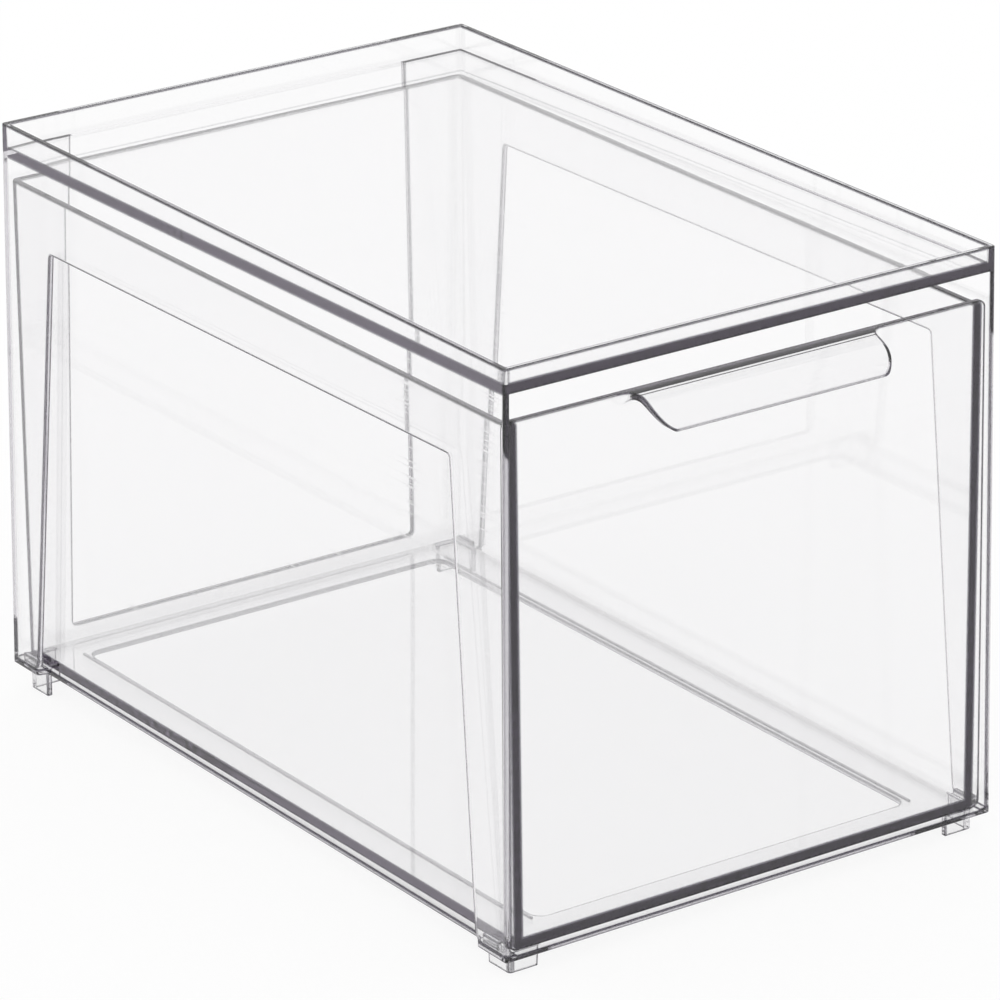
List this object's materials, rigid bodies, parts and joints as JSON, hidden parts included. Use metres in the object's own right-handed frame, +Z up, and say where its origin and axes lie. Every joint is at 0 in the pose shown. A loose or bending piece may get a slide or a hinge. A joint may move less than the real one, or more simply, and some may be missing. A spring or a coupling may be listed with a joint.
{
  "type": "cotton pad holder with drawer",
  "caption": "Clear plastic stackable holder: an open-sided case with a lipped top and footed base tray, and a deep tub drawer that slides out of its open front by a drooping pull lip.",
  "frame": {"origin": "centre of the bounding box's base, with the four feet standing on z = 0", "axes": "+X to the right seen from the front, +Y to the back, +Z up; the drawer slides out along -Y, 0.57 degrees below level"},
  "size_m": [0.1938, 0.3092, 0.2049],
  "materials": {
    "clear_plastic": "clear, glossy"
  },
  "bodies": {
    "housing": {"case_shell": "clear_plastic", "base_tray": "clear_plastic"},
    "drawer": {"drawer": "clear_plastic"}
  },
  "joints": [
    {"name": "drawer_slide", "type": "slide", "parent": "housing", "child": "drawer", "axis": [0, -1, -0.0099], "range_m": [0, 0.24]}
  ]
}
